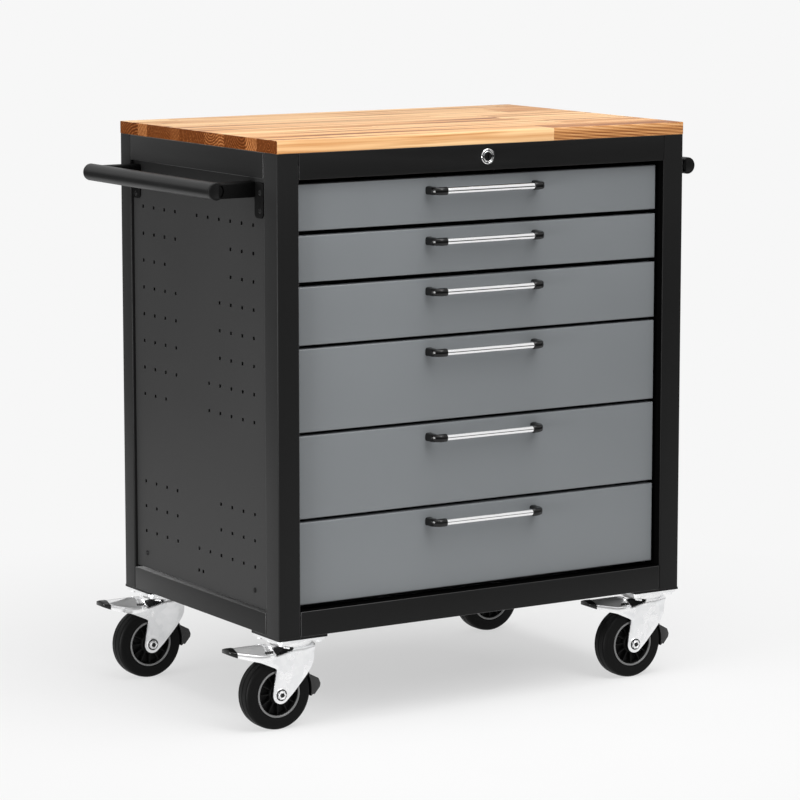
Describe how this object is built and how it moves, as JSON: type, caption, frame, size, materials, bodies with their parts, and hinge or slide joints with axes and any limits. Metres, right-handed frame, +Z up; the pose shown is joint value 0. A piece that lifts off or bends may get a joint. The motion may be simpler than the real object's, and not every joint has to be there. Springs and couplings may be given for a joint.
{
  "type": "rolling tool chest",
  "caption": "Rolling tool chest: steel frame with perforated side panels, stacked drawers with bar handles, wooden worktop, side push handles, central lock and braked swivel casters.",
  "frame": {"origin": "on the floor, under the middle of the bounding box", "axes": "+X to the right and -Y to the front, seen from in front of the drawers; +Z up"},
  "size_m": [1, 0.569, 1],
  "materials": {
    "beech": "oiled butcher block",
    "frame_black": "matte powder coat",
    "panel_grey": "matte powder coat",
    "front_grey": "satin powder coat",
    "chrome": "polished",
    "zinc": "bright zinc plating",
    "black_plastic": "moulded",
    "black_rubber": "moulded"
  },
  "bodies": {
    "cabinet": {"worktop": "beech", "front_left_post": "frame_black", "front_right_post": "frame_black", "rear_left_post": "frame_black", "rear_right_post": "frame_black", "front_top_rail": "frame_black", "front_bottom_rail": "frame_black", "left_rails": "frame_black", "right_rails": "frame_black", "left_side_panel": "panel_grey", "right_side_panel": "panel_grey", "back_panel": "frame_black", "base_panel": "frame_black", "runner_channels": "zinc", "caster_gussets": "frame_black", "caster_plates": "zinc", "lock_housing": "chrome", "left_handle_tube": "frame_black", "right_handle_tube": "frame_black", "handle_arms": "frame_black"},
    "lock_plug": {"lock_plug": "chrome"},
    "lock_bar": {"lock_bar": "zinc"},
    "drawer_1": {"drawer_1": "front_grey", "drawer_1_handle_bar": "chrome", "drawer_1_handle_ends": "black_plastic"},
    "drawer_2": {"drawer_2": "front_grey", "drawer_2_handle_bar": "chrome", "drawer_2_handle_ends": "black_plastic"},
    "drawer_3": {"drawer_3": "front_grey", "drawer_3_handle_bar": "chrome", "drawer_3_handle_ends": "black_plastic"},
    "drawer_4": {"drawer_4": "front_grey", "drawer_4_handle_bar": "chrome", "drawer_4_handle_ends": "black_plastic"},
    "drawer_5": {"drawer_5": "front_grey", "drawer_5_handle_bar": "chrome", "drawer_5_handle_ends": "black_plastic"},
    "drawer_6": {"drawer_6": "front_grey", "drawer_6_handle_bar": "chrome", "drawer_6_handle_ends": "black_plastic"},
    "front_left_caster": {"front_left_fork": "zinc", "front_left_brake_block": "black_plastic"},
    "front_left_wheel": {"front_left_tyre": "black_rubber", "front_left_rim": "black_plastic"},
    "front_left_brake_pedal": {"front_left_pedal": "chrome"},
    "front_right_caster": {"front_right_fork": "zinc", "front_right_brake_block": "black_plastic"},
    "front_right_wheel": {"front_right_tyre": "black_rubber", "front_right_rim": "black_plastic"},
    "front_right_brake_pedal": {"front_right_pedal": "chrome"},
    "rear_left_caster": {"rear_left_fork": "zinc", "rear_left_brake_block": "black_plastic"},
    "rear_left_wheel": {"rear_left_tyre": "black_rubber", "rear_left_rim": "black_plastic"},
    "rear_left_brake_pedal": {"rear_left_pedal": "chrome"},
    "rear_right_caster": {"rear_right_fork": "zinc", "rear_right_brake_block": "black_plastic"},
    "rear_right_wheel": {"rear_right_tyre": "black_rubber", "rear_right_rim": "black_plastic"},
    "rear_right_brake_pedal": {"rear_right_pedal": "chrome"}
  },
  "joints": [
    {"name": "lock_turn", "type": "hinge", "parent": "cabinet", "child": "lock_plug", "pos_m": [0, -0.2685, 0.957], "axis": [0, 1, 0], "range_deg": [0, 90]},
    {"name": "lock_bar_slide", "type": "slide", "parent": "cabinet", "child": "lock_bar", "axis": [0, 0, -1], "range_m": [0, 0.012]},
    {"name": "drawer_1_slide", "type": "slide", "parent": "cabinet", "child": "drawer_1", "axis": [0, -1, 0], "range_m": [0, 0.34]},
    {"name": "drawer_2_slide", "type": "slide", "parent": "cabinet", "child": "drawer_2", "axis": [0, -1, 0], "range_m": [0, 0.34]},
    {"name": "drawer_3_slide", "type": "slide", "parent": "cabinet", "child": "drawer_3", "axis": [0, -1, 0], "range_m": [0, 0.34]},
    {"name": "drawer_4_slide", "type": "slide", "parent": "cabinet", "child": "drawer_4", "axis": [0, -1, 0], "range_m": [0, 0.34]},
    {"name": "drawer_5_slide", "type": "slide", "parent": "cabinet", "child": "drawer_5", "axis": [0, -1, 0], "range_m": [0, 0.34]},
    {"name": "drawer_6_slide", "type": "slide", "parent": "cabinet", "child": "drawer_6", "axis": [0, -1, 0], "range_m": [0, 0.34]},
    {"name": "front_left_swivel", "type": "hinge", "parent": "cabinet", "child": "front_left_caster", "pos_m": [-0.368, -0.2215, 0.145], "axis": [0, 0, 1], "continuous": true},
    {"name": "front_left_wheel_spin", "type": "hinge", "parent": "front_left_caster", "child": "front_left_wheel", "pos_m": [-0.399, -0.2215, 0.0625], "axis": [0, 1, 0], "continuous": true},
    {"name": "front_left_pedal_press", "type": "hinge", "parent": "front_left_caster", "child": "front_left_brake_pedal", "pos_m": [-0.417, -0.2215, 0.133], "axis": [0, -1, 0], "range_deg": [0, 12]},
    {"name": "front_right_swivel", "type": "hinge", "parent": "cabinet", "child": "front_right_caster", "pos_m": [0.368, -0.2215, 0.145], "axis": [0, 0, 1], "continuous": true},
    {"name": "front_right_wheel_spin", "type": "hinge", "parent": "front_right_caster", "child": "front_right_wheel", "pos_m": [0.337, -0.2215, 0.0625], "axis": [0, 1, 0], "continuous": true},
    {"name": "front_right_pedal_press", "type": "hinge", "parent": "front_right_caster", "child": "front_right_brake_pedal", "pos_m": [0.319, -0.2215, 0.133], "axis": [0, -1, 0], "range_deg": [0, 12]},
    {"name": "rear_left_swivel", "type": "hinge", "parent": "cabinet", "child": "rear_left_caster", "pos_m": [-0.368, 0.2375, 0.145], "axis": [0, 0, 1], "continuous": true},
    {"name": "rear_left_wheel_spin", "type": "hinge", "parent": "rear_left_caster", "child": "rear_left_wheel", "pos_m": [-0.399, 0.2375, 0.0625], "axis": [0, 1, 0], "continuous": true},
    {"name": "rear_left_pedal_press", "type": "hinge", "parent": "rear_left_caster", "child": "rear_left_brake_pedal", "pos_m": [-0.417, 0.2375, 0.133], "axis": [0, -1, 0], "range_deg": [0, 12]},
    {"name": "rear_right_swivel", "type": "hinge", "parent": "cabinet", "child": "rear_right_caster", "pos_m": [0.368, 0.2375, 0.145], "axis": [0, 0, 1], "continuous": true},
    {"name": "rear_right_wheel_spin", "type": "hinge", "parent": "rear_right_caster", "child": "rear_right_wheel", "pos_m": [0.337, 0.2375, 0.0625], "axis": [0, 1, 0], "continuous": true},
    {"name": "rear_right_pedal_press", "type": "hinge", "parent": "rear_right_caster", "child": "rear_right_brake_pedal", "pos_m": [0.319, 0.2375, 0.133], "axis": [0, -1, 0], "range_deg": [0, 12]}
  ],
  "couplings": [
    {"joint": "lock_turn", "follows": "lock_bar_slide", "rad_per_m": 130.67}
  ]
}
